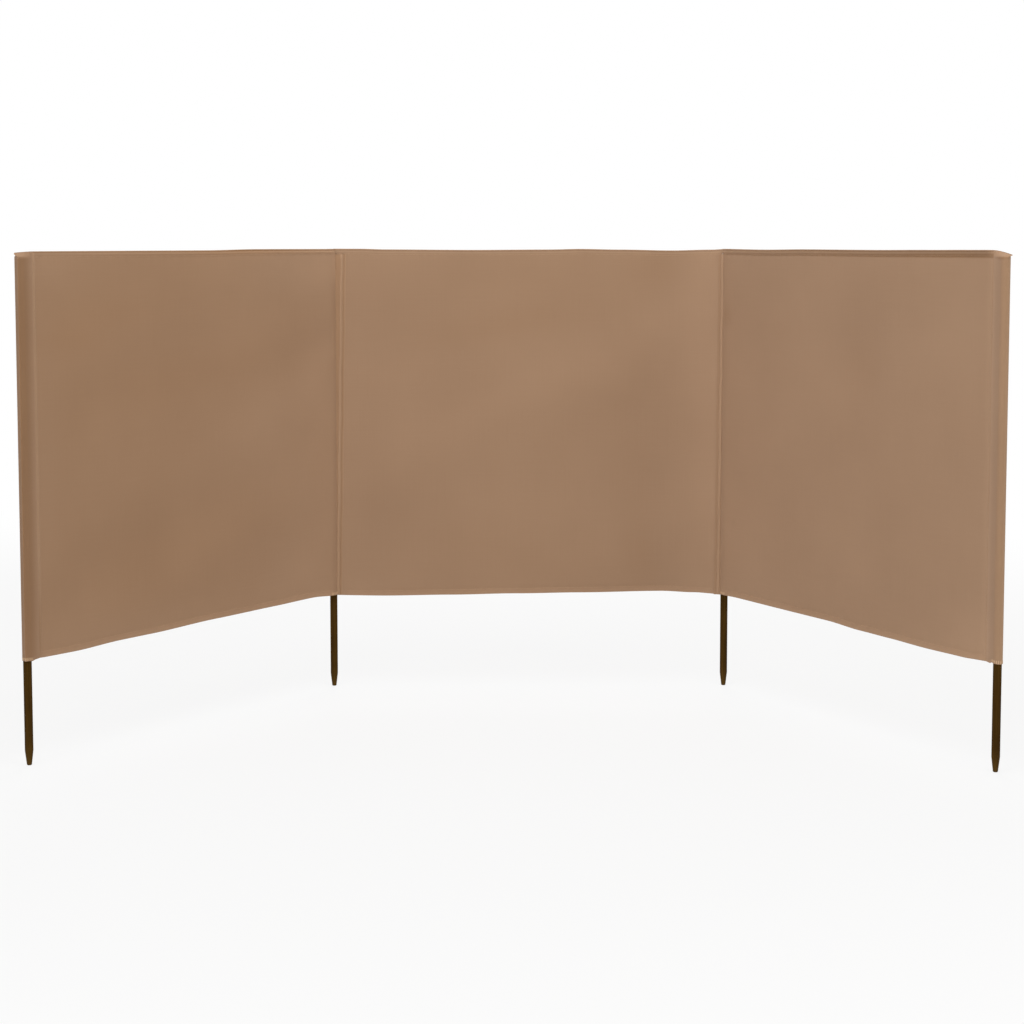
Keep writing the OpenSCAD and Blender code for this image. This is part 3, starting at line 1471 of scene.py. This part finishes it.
@dataclass
class InnerPocket(SewnCloth):
    """The round pocket behind an inner corner: a tube of cloth, pinched shut at the top."""

    side: Side
    screen: Screen
    pinch_turn: float
    pinch_reach: float = 0.0155
    pinch_thick: float = 0.0009
    gather_share: float = 0.05
    gathers: float = 9.0
    mouth_lift: float = 0.0045
    top_rise: float = 0.0006
    top_margin: float = 0.001
    mouth_roll: float = 0.0002
    roll_rise: Pair = (0.0, 0.001)
    roll_drop: Pair = (0.0135, 0.0155)
    girth: float = 0.088
    flat_start: float = 5.0
    columns: int = 56
    levels: tuple[float, ...] = (
        0.0, 0.0006, 0.004, 0.010, 0.0145, 0.0155, 0.02, 0.05, 0.25, 0.5, 0.75, 0.95,
        0.975, 0.984, 0.988, 0.991, 0.994, 0.9965, 0.9985, 1.0,
    )

    def build(self) -> Piece:
        """Rolls the tube and pinches its top.

        Returns:
            The pocket.
        """
        last = len(self.levels) - 1
        piece = flat_grid(f"{self.side.value}_inner_pocket", self.columns, last)
        across, up, _ = points_of(piece).T
        height = np.array(self.levels)[np.round(up * last).astype(int)]
        tall = self.screen.height - self.mouth_lift + self.top_rise
        z = self.screen.low + self.mouth_lift + height * tall
        turn = across * FULL_TURN
        round_radius = self.screen.pocket_radius - self.screen.cloth / 2.0
        radius = round_radius + self.mouth_roll * plateau(self.roll_rise, self.roll_drop, height)
        close = ease(self.screen.pole_top, self.screen.high - self.top_margin, z)
        gather = 1.0 + self.gather_share * close * np.sin(turn * self.gathers)
        wide = between((radius, self.pinch_reach), close) * np.cos(turn)
        thin = between((radius, self.pinch_thick), close) * gather * np.sin(turn)
        x, y = turned(wide, thin, -self.pinch_turn)
        points = np.stack([self.screen.pole_x(self.side) + x, y, z], axis=1)
        return self.lay(piece, points, (across * self.girth + self.flat_start, z), closed=True)


@dataclass
class CornerSeam(SewnCloth):
    """The raised seam beside an inner pocket, on the front of the middle bay, with painted shade at its
    rise and foot and a painted highlight on its crest.
    """

    side: Side
    screen: Screen
    offsets: Pair
    half_width: float
    rise_painted_shade: float
    crest_painted_highlight: float
    foot_painted_shade: float
    proud: float = 0.0050
    tail: float = 0.009
    foot_lift: float = 0.0045
    top_margin: float = 0.002
    tuck: float = 0.0010
    ridge_power: float = 1.3
    swell_share: float = 0.10
    swell_rates: Pair = (31.0, 9.0)
    swell_phase: float = 0.6
    sways: tuple[Triple, ...] = ((0.0006, 27.0, 0.0), (0.0004, 73.0, 1.0))
    rise_band: Pair = (0.1, 0.5)
    foot_band: Pair = (0.8, 1.0)
    foot_fade: Pair = (0.2, 1.0)
    end_share: float = 0.35
    end_bands: Pair = (0.012, 0.010)
    bay_gap: float = 0.0004
    pocket_gap: float = 0.0056
    flat_start: float = 6.0
    sharp: float = 70.0
    row_margins: Pair = (0.008, 0.004)
    row_gap: float = 0.0022
    row_front: float = -0.0011
    ridge_columns: int = 14
    columns: int = 20
    rows: int = 150

    def offset(self, share: Array) -> Array:
        """How far the ridge stands from the pole's axis, from the foot (0) to the top (1)."""
        sway = sum(wide * np.sin(share * rate + phase) for wide, rate, phase in self.sways)
        return between(self.offsets, share) + sway

    def mirrored(self, x: Array) -> Array:
        """Turns a distance from the pole's axis into a place on X."""
        return x if self.side is Side.LEFT else self.screen.bay - x

    def build(self) -> Piece:
        """Folds the seam's ridge: from the pocket, over the ridge and flat onto the bay.

        Returns:
            The seam.
        """
        piece = flat_grid(f"{self.side.value}_corner_seam", self.columns, self.rows)
        across, up, _ = points_of(piece).T
        column = np.round(across * self.columns)
        over = np.clip(column / self.ridge_columns, 0.0, 1.0)
        beyond = np.clip((column - self.ridge_columns) / (self.columns - self.ridge_columns), 0.0, 1.0)
        low = self.screen.low + self.foot_lift
        high = self.screen.high - self.screen.hem + self.top_margin
        z = between((low, high), up)
        flat = self.half_width * (2.0 * over - 1.0) + self.tail * beyond
        x = self.offset(up) + flat
        x = np.where(column == 0, np.minimum(x, self.screen.pocket_radius - self.tuck), x)
        arch = np.sin(math.pi * over)
        fast, slow = self.swell_rates
        swell = 1.0 + self.swell_share * np.sin(z * fast + self.swell_phase) * np.sin(z * slow)
        ends = plateau((low, low + self.end_bands[0]), (high - self.end_bands[1], high), z)
        ridge = self.proud * arch**self.ridge_power * swell * between((self.end_share, 1.0), ends)
        y = -(self.bay_gap + self.pocket_gap * (1.0 - over) ** 2 + ridge)
        # Painted shade on the ridge's rise and foot, a painted highlight on its crest.
        tone = self.crest_painted_highlight * arch + self.rise_painted_shade * fall(*self.rise_band, over)
        foot = ease(*self.foot_band, over) * fall(*self.foot_fade, beyond)
        tone = tone + self.foot_painted_shade * foot
        points = np.stack([self.mirrored(x), y, z], axis=1)
        return self.lay(piece, points, (flat + self.flat_start, z), tone, sharp=self.sharp)

    def sew(self, needle: Needle) -> Piece:
        """Sews the ridge down beside its foot.

        Args:
            needle: The stitch.

        Returns:
            The row.
        """
        low = self.screen.low + self.row_margins[0]
        high = self.screen.high - self.screen.hem - self.row_margins[1]

        def path(z: Array) -> Array:
            """Places on the row."""
            x = self.mirrored(self.offset((z - low) / (high - low)) + self.half_width + self.row_gap)
            return np.stack([x, np.full_like(z, self.row_front), z], axis=1)

        def out(z: Array) -> Array:
            """The row faces the front."""
            return np.tile(np.array([0.0, -1.0, 0.0]), (len(z), 1))

        return needle.row(f"{self.side.value}_corner_stitches", (low, high), path, out)


def left_wing(screen: Screen) -> WingCloth:
    """The left bay's cloth with its own folds, edges and patches of painted light and shade, not built
    yet.

    Args:
        screen: The shared sizes.

    Returns:
        The bay's cloth.
    """
    folds = (Ripple(0.0014, 0.42, -13.0, 0.30), Ripple(0.0008, 0.27, -20.0, 0.10))
    hollows = (
        Dent(0.05, 1.20, 0.09, 0.05, 0.003, -14.0),
        Dent(0.95, 0.56, 0.24, 0.16, 0.003),
        Dent(0.75, 1.36, 0.26, 0.07, 0.002, -6.0),
    )
    # Soft patches of painted light and shade: lighter where positive, darker where negative.
    painted_patches = (
        Dent(0.60, 1.13, 0.45, 0.075, -0.040, -8.0),
        Dent(1.00, 1.33, 0.22, 0.05, -0.030, -3.0),
        Dent(0.28, 0.95, 0.38, 0.11, 0.040, -14.0),
        Dent(0.95, 0.56, 0.34, 0.16, -0.035),
        Dent(0.45, 0.62, 0.25, 0.12, -0.025),
        Dent(0.12, 1.45, 0.30, 0.09, 0.040),
        Dent(0.15, 0.75, 0.35, 0.55, 0.075),
        Dent(1.15, 1.25, 0.30, 0.30, -0.030),
        Dent(1.17, 1.25, 0.13, 0.045, -0.035),
        Dent(0.0, 0.90, 0.15, 1.20, 0.060),
        Dent(0.12, 1.46, 0.24, 0.08, 0.090),
        Dent(0.22, 0.42, 0.15, 0.12, 0.045),
        Dent(1.29, 0.95, 0.07, 0.50, 0.035),
        Dent(1.25, 1.46, 0.12, 0.06, 0.050),
        Dent(1.20, 0.40, 0.12, 0.10, 0.020),
        Dent(0.85, 0.33, 0.50, 0.07, 0.055),
    )
    top = ((0.0, 0.0003), (0.3, 0.0012), (0.45, -0.0012), (0.72, -0.0009), (1.0, -0.0007))
    bottom = (
        (0.0, 0.006), (0.10, 0.0138), (0.24, 0.0115), (0.45, 0.0092), (0.66, 0.0030),
        (0.76, 0.0030), (0.90, -0.0025), (1.0, -0.0018),
    )
    # The painted light and shade of the bay's cloth.
    painted_light = WingPaintedLight(
        base=-0.085, hem=(-0.08, 0.02), fold=(-0.19, -0.04),
        corner=0.075, corner_fade=0.15, corner_end=0.036,
        pocket=-0.20, rim=-0.20, rim_start=0.004,
        welt=0.145, welt_wide=0.0052, welt_fade=1.2,
    )
    return WingCloth(
        side=Side.LEFT, screen=screen, relief=Relief(folds, hollows),
        top_lift=top, bottom_lift=bottom, painted_patches=painted_patches,
        hem_start=0.0, hem_lean=0.0002, wrap_angle=115.0, corner_swell=0.004, fold_reach=0.0215,
        top_reach=0.0235, top_lean=-0.0050, top_swell=0.0050, top_gather=0.45,
        corner_drop=0.0035, mouth_drop=0.0020, mouth_lean=-0.0040,
        painted_light=painted_light,
    )


def right_wing(screen: Screen) -> WingCloth:
    """The right bay's cloth with its own folds, edges and patches of painted light and shade, not built
    yet.

    Args:
        screen: The shared sizes.

    Returns:
        The bay's cloth.
    """
    folds = (Ripple(0.0014, 0.50, 9.0, 0.05), Ripple(0.0008, 0.30, 24.0, 0.55))
    hollows = (
        Dent(0.050, 1.30, 0.04, 0.045, 0.0025),
        Dent(0.72, 1.12, 0.16, 0.14, 0.005),
        Dent(0.05, 0.58, 0.02, 0.02, 0.0015),
    )
    # Soft patches of painted light and shade: lighter where positive, darker where negative.
    painted_patches = (
        Dent(0.025, 1.285, 0.03, 0.035, -0.08),
        Dent(0.30, 1.24, 0.16, 0.05, -0.025),
        Dent(0.74, 1.13, 0.10, 0.11, -0.040),
        Dent(1.25, 0.90, 0.10, 0.80, 0.030),
        Dent(0.075, 0.58, 0.012, 0.010, -0.06),
        Dent(0.14, 0.65, 0.22, 0.40, 0.045),
        Dent(0.62, 1.42, 0.55, 0.14, -0.020),
        # A painted shadow under the end pocket's top.
        Dent(1.352, 1.4970, 0.030, 0.0045, -0.24),
        Dent(1.27, 0.39, 0.12, 0.12, 0.100),
        Dent(1.10, 0.33, 0.25, 0.06, 0.045),
    )
    top = (
        (0.0, 0.0004), (0.18, -0.0010), (0.35, 0.0010), (0.6, 0.0008), (0.80, 0.0022),
        (0.92, 0.0032), (1.0, 0.0036),
    )
    bottom = (
        (0.0, 0.006), (0.08, 0.0092), (0.25, 0.0085), (0.45, 0.0085), (0.57, 0.0022),
        (0.68, 0.0008), (0.80, -0.0020), (0.92, -0.0006), (1.0, 0.0038),
    )
    # The painted light and shade of the bay's cloth.
    painted_light = WingPaintedLight(
        base=0.012, hem=(-0.09, -0.27), fold=(0.0, 0.09),
        corner=0.045, corner_fade=0.0, corner_end=0.050,
        pocket=-0.05, rim=0.16, rim_start=-0.006,
        welt=0.09, welt_wide=0.022, welt_fade=0.0,
    )
    return WingCloth(
        side=Side.RIGHT, screen=screen, relief=Relief(folds, hollows),
        top_lift=top, bottom_lift=bottom, painted_patches=painted_patches,
        hem_start=0.008, hem_lean=0.006, wrap_angle=99.0, corner_swell=0.003, fold_reach=0.0,
        top_reach=0.020, top_lean=0.009, top_swell=0.0, top_gather=0.20,
        corner_drop=0.0135, mouth_drop=-0.0045, mouth_lean=0.003,
        painted_light=painted_light,
    )


def middle_bay(screen: Screen) -> CentreCloth:
    """The middle bay's cloth with its own folds, edges and patches of painted light and shade, not built
    yet.

    Args:
        screen: The shared sizes.

    Returns:
        The bay's cloth.
    """
    folds = (Ripple(0.0014, 0.56, 21.0, 0.62), Ripple(0.0010, 0.31, 30.0, 0.15))
    hollows = (Dent(1.08, 0.68, 0.10, 0.36, 0.003), Dent(1.25, 1.36, 0.09, 0.16, -0.003))
    # Soft patches of painted light and shade: lighter where positive, darker where negative.
    painted_patches = (
        Dent(0.65, 1.03, 0.42, 0.06, 0.030, 26.0),
        Dent(1.25, 1.05, 0.14, 0.30, 0.030),
        Dent(1.06, 0.62, 0.09, 0.38, -0.012),
        Dent(1.07, 0.45, 0.06, 0.12, -0.030),
        Dent(1.28, 1.32, 0.08, 0.25, 0.070),
        Dent(1.32, 0.70, 0.08, 0.45, 0.070),
        Dent(0.65, 1.42, 0.45, 0.16, -0.040),
        Dent(0.62, 0.40, 0.35, 0.20, -0.025),
        Dent(0.58, 1.25, 0.26, 0.06, -0.050, 10.0),
        Dent(0.94, 1.09, 0.08, 0.06, 0.045),
        Dent(1.32, 0.80, 0.14, 0.60, 0.120),
        Dent(1.345, 0.90, 0.05, 2.00, 0.075),
        Dent(1.33, 1.42, 0.06, 0.14, 0.070),
        Dent(1.12, 1.45, 0.10, 0.09, -0.045),
        Dent(0.03, 0.75, 0.08, 0.90, 0.055),
    )
    top = (
        (0.0, 0.0012), (0.07, 0.0008), (0.14, -0.0014), (0.36, -0.0032), (0.55, -0.0017),
        (0.63, 0.0002), (0.73, -0.0020), (0.86, -0.0050), (0.96, -0.0022), (1.0, 0.0006),
    )
    bottom = (
        (0.0, 0.0035), (0.13, 0.0017), (0.30, 0.0046), (0.47, 0.0092), (0.63, 0.0124),
        (0.84, 0.0168), (0.92, 0.0121), (1.0, 0.0045),
    )
    return CentreCloth(
        screen=screen, relief=Relief(folds, hollows),
        top_lift=top, bottom_lift=bottom, painted_patches=painted_patches, hem_lean=-0.0005,
    )


@dataclass
class Windbreak:
    """The whole screen: three cloths, two inner pockets, their seams and four poles."""

    screen: Screen
    finishes: Finishes
    needle: Needle = Needle()
    bend_reach: float = 0.16
    bend_height: float = 0.9
    left_pinch: float = 26.5
    right_pinch: float = -30.0

    def settle(
        self,
        piece: Piece,
        finish: bpy.types.Material,
        side: Side | None = None,
        replaced: tuple[str, ...] = (),
        bends: bool = True,
    ) -> Piece:
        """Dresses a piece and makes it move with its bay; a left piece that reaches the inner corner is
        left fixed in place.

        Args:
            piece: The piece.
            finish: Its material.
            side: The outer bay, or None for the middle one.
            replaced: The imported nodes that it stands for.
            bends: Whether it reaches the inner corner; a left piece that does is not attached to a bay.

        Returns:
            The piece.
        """
        piece.data.materials.clear()
        piece.data.materials.append(finish)
        if replaced:
            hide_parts(*replaced)
        if side is None:
            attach(piece, "centre_bay")
        elif side is Side.LEFT and bends:
            frame = BayFrame.of_wing(side, self.screen)
            start = frame.place(0.0, 0.0, self.bend_height)
            end = frame.place(self.bend_reach, 0.0, self.bend_height)
            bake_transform(piece)
        else:
            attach(piece, f"{side.value}_bay")
        LOG.info("%s: %d faces", piece.name, len(piece.data.polygons))
        return piece

    def hem_bay(self, bay: BayCloth, side: Side | None = None) -> list[Piece]:
        """Adds a bay's two hems and their stitches.

        Args:
            bay: The bay's cloth.
            side: The outer bay, or None for the middle one.

        Returns:
            The hems and the rows of stitches.
        """
        pieces = []
        for which in Edge:
            hem, node = bay.build_hem(which), f"{bay.name}_{which.value}_hem"
            pieces.append(self.settle(hem, self.finishes.hem, side, (node,)))
            row = bay.sew_hem(which, self.needle)
            pieces.append(self.settle(row, self.finishes.thread, side))
        return pieces

    def build_wing(self, side: Side) -> None:
        """Builds one outer bay.

        Args:
            side: Which outer bay.
        """
        name, looks = side.value, self.finishes
        wing = left_wing(self.screen) if side is Side.LEFT else right_wing(self.screen)
        nodes = (f"{name}_panel", f"{name}_end_sleeve", f"{name}_end_pocket_top", f"{name}_end_seam")
        cloth = self.settle(wing.build_sheet(), looks.cloth, side, nodes)
        on_cloth = self.hem_bay(wing, side)
        seam = wing.sew_end_seam(self.needle)
        on_cloth.append(self.settle(seam, looks.thread, side, bends=False))
        on_cloth.append(self.settle(wing.sew_mouths(), looks.pale_thread, side))

    def corner_of(self, side: Side) -> CornerSeam:
        """The raised seam at an inner pole, not built yet.

        Args:
            side: Which inner pole.

        Returns:
            The seam.
        """
        if side is Side.LEFT:
            return CornerSeam(
                side, self.screen, offsets=(0.0142, 0.0350), half_width=0.0066,
                rise_painted_shade=-0.13, crest_painted_highlight=0.03, foot_painted_shade=-0.15,
            )
        return CornerSeam(
            side, self.screen, offsets=(0.0215, 0.0145), half_width=0.0052,
            rise_painted_shade=-0.03, crest_painted_highlight=0.09, foot_painted_shade=-0.03,
        )

    def build_centre(self) -> None:
        """Builds the middle bay with its pockets and corner seams."""
        looks = self.finishes
        centre = middle_bay(self.screen)
        cloth = self.settle(centre.build_sheet(), looks.shaded_middle_cloth, replaced=("centre_panel",))
        on_cloth = self.hem_bay(centre)
        for side, pinch in ((Side.LEFT, self.left_pinch), (Side.RIGHT, self.right_pinch)):
            name = side.value
            pocket = InnerPocket(side, self.screen, pinch).build()
            nodes = (f"{name}_inner_sleeve", f"{name}_inner_pocket_top")
            on_cloth.append(self.settle(pocket, looks.cloth, replaced=nodes))
            corner = self.corner_of(side)
            nodes = (f"{name}_inner_seam",)
            on_cloth.append(self.settle(corner.build(), looks.hem, replaced=nodes))
            on_cloth.append(self.settle(corner.sew(self.needle), looks.quiet_thread))

    def dress_poles(self, nodes: dict[str, Piece]) -> None:
        """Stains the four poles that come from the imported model.

        Args:
            nodes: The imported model's objects by name.
        """
        for name in ("left_inner_pole", "right_inner_pole", "left_end_pole", "right_end_pole"):
            pole = nodes[name]
            pole.data.materials.clear()
            pole.data.materials.append(self.finishes.pole)
            LOG.info("%s: stained", name)


@dataclass(frozen=True)
class Lamp:
    """A square soft lamp, hung at a place and pointed at a target; its power is in watts."""

    name: str
    place: Triple
    target: Triple
    size: float
    power: float
    colour: Triple = (1.0, 1.0, 1.0)

    def build(self) -> None:
        """Hangs the lamp."""
        deselect_all()
        bpy.ops.object.light_add(type="AREA", location=self.place)
        lamp = bpy.context.active_object
        lamp.name = self.name
        lamp.data.shape = "SQUARE"
        lamp.data.size = self.size
        lamp.data.energy = self.power
        lamp.data.color = self.colour
        aim = Vector(self.target) - Vector(self.place)
        lamp.rotation_mode = "QUATERNION"
        lamp.rotation_quaternion = aim.to_track_quat("-Z", "Y")


@dataclass(frozen=True)
class Studio:
    """A pale floor, a white surround and soft lamps."""

    floor_size: float = 40.0
    floor_place: Triple = (0.6, 0.0, -0.0005)
    floor_colour: Triple = (0.60, 0.60, 0.60)
    white_share: float = 0.83
    fade_start: float = 2.2
    fade_end: float = 5.0
    world_strength: float = 0.54
    lamps: tuple[Lamp, ...] = (
        Lamp("left_front_lamp", (-3.4, -5.6, 3.6), (0.8, -0.2, 0.9), 3.0, 142.0),
        Lamp("right_front_lamp", (4.6, -5.2, 3.2), (0.5, -0.2, 0.9), 3.0, 100.0, (1.0, 0.96, 0.85)),
        Lamp("top_lamp", (0.7, -1.6, 4.6), (0.7, -0.4, 0.9), 3.5, 91.0),
        Lamp("back_lamp", (0.8, 5.5, 3.4), (0.7, 0.0, 0.9), 3.5, 200.0),
    )

    def build_floor(self) -> None:
        """Lays the floor: mostly plain white to the camera, and it still takes shadow."""
        deselect_all()
        bpy.ops.mesh.primitive_plane_add(size=self.floor_size, location=self.floor_place)
        floor = take_active("studio_floor")
        material = bpy.data.materials.new("pale_floor")
        material.use_nodes = True
        desk = NodeDesk(material.node_tree)
        matt = desk.add("BsdfDiffuse", {"Color": (*self.floor_colour, 1.0)}).outputs["BSDF"]
        white = desk.add("Emission", {"Color": WHITE}).outputs["Emission"]
        place = desk.add("TexCoord").outputs["Object"]
        reach = desk.add("VectorMath", {0: place}, operation="LENGTH").outputs["Value"]
        feeds = {
            "Value": reach,
            "From Min": self.fade_start,
            "From Max": self.fade_end,
            "To Min": self.white_share,
            "To Max": 1.0,
        }
        fade = desk.add("MapRange", feeds, interpolation_type="SMOOTHSTEP").outputs["Result"]
        share = desk.math("MULTIPLY", desk.looking_rays(), fade)
        desk.show_mix("OutputMaterial", share, matt, white)
        floor.data.materials.append(material)

    def build_world(self) -> None:
        """Surrounds the scene with even light that the camera sees as white."""
        world = bpy.data.worlds.new("white_surround")
        bpy.context.scene.world = world
        world.use_nodes = True
        desk = NodeDesk(world.node_tree)
        even, white = (
            desk.add("Background", {"Color": WHITE, "Strength": strength}).outputs["Background"]
            for strength in (self.world_strength, 1.0)
        )
        desk.show_mix("OutputWorld", desk.looking_rays(), even, white)

    def build(self) -> None:
        """Builds the floor, the surround and the lamps."""
        self.build_floor()
        self.build_world()
        for lamp in self.lamps:
            lamp.build()


@dataclass(frozen=True)
class Viewpoint:
    """The camera at the photograph's viewing angle; down and yaw are in degrees."""

    place: Triple = (0.5750, -7.0873, 1.5554)
    down: float = 4.740
    yaw: float = -0.351
    lens: float = 72.56
    sensor: float = 36.0
    shift: float = -0.1012

    def build(self) -> None:
        """Adds the camera and makes it the scene's own."""
        deselect_all()
        turn = (math.radians(90.0 - self.down), 0.0, math.radians(self.yaw))
        bpy.ops.object.camera_add(location=self.place, rotation=turn)
        camera = bpy.context.active_object
        camera.name = "front_camera"
        camera.data.sensor_width = self.sensor
        camera.data.lens = self.lens
        camera.data.shift_y = self.shift
        bpy.context.scene.camera = camera


def main() -> None:
    """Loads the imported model, dresses it and sets up the studio and the camera."""
    logging.basicConfig(level=logging.INFO, format="%(name)s: %(message)s")
    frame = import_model()
    bpy.context.scene.view_settings.view_transform = "Standard"
    Viewpoint().build()
    windbreak = Windbreak(Screen(), Finishes())
    windbreak.build_centre()
    windbreak.build_wing(Side.LEFT)
    windbreak.build_wing(Side.RIGHT)
    windbreak.dress_poles(frame["nodes"])
    Studio().build()


if __name__ == "__main__":
    main()
